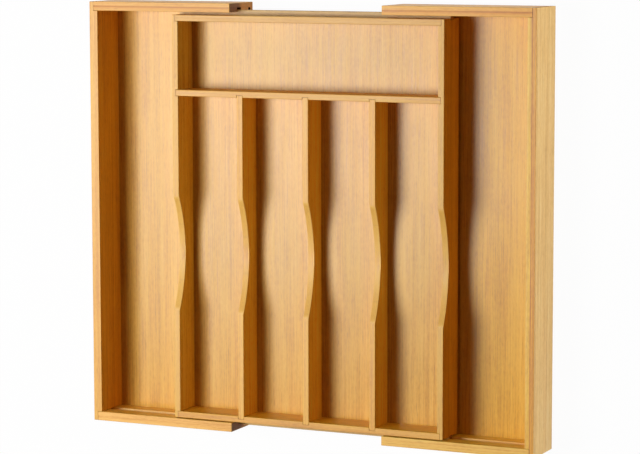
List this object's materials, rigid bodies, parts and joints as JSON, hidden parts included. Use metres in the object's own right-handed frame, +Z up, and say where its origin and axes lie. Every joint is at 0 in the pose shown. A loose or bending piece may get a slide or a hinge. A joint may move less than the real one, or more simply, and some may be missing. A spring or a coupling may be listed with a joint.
{
  "type": "expandable cutlery tray",
  "caption": "Wooden drawer tray with long and cross compartments, whose left and right trays slide out on rails to widen it.",
  "frame": {"origin": "on the ground under the middle of the tray, pulled fully open", "axes": "+X across the tray to its right, +Y to its back, +Z up out of its open side"},
  "size_m": [0.5, 0.448, 0.055],
  "materials": {
    "floor_bamboo": "lacquered bamboo board, fine grain",
    "centre_bamboo": "lacquered bamboo board",
    "divider_bamboo": "lacquered bamboo board",
    "side_bamboo": "lacquered laminated bamboo",
    "arm_bamboo": "lacquered laminated bamboo",
    "rail_bamboo": "plain sanded bamboo",
    "peg_bamboo": "plain bamboo dowel"
  },
  "bodies": {
    "centre_tray": {"centre_floor_panel": "floor_bamboo", "centre_back_wall": "centre_bamboo", "centre_front_wall": "centre_bamboo", "centre_left_wall": "centre_bamboo", "centre_right_wall": "centre_bamboo", "cross_divider": "divider_bamboo", "long_divider_1": "divider_bamboo", "long_divider_2": "divider_bamboo", "long_divider_3": "divider_bamboo", "back_rail": "rail_bamboo", "front_rail": "rail_bamboo"},
    "left_tray": {"left_side_wall": "side_bamboo", "left_back_arm": "arm_bamboo", "left_front_arm": "arm_bamboo", "left_floor_panel": "floor_bamboo", "left_back_stop_peg": "peg_bamboo", "left_front_stop_peg": "peg_bamboo"},
    "right_tray": {"right_side_wall": "side_bamboo", "right_back_arm": "arm_bamboo", "right_front_arm": "arm_bamboo", "right_floor_panel": "floor_bamboo", "right_back_stop_peg": "peg_bamboo", "right_front_stop_peg": "peg_bamboo"}
  },
  "joints": [
    {"name": "left_slide", "type": "slide", "parent": "centre_tray", "child": "left_tray", "axis": [1, 0, 0], "range_m": [0, 0.085]},
    {"name": "right_slide", "type": "slide", "parent": "centre_tray", "child": "right_tray", "axis": [-1, 0, 0], "range_m": [0, 0.085]}
  ]
}
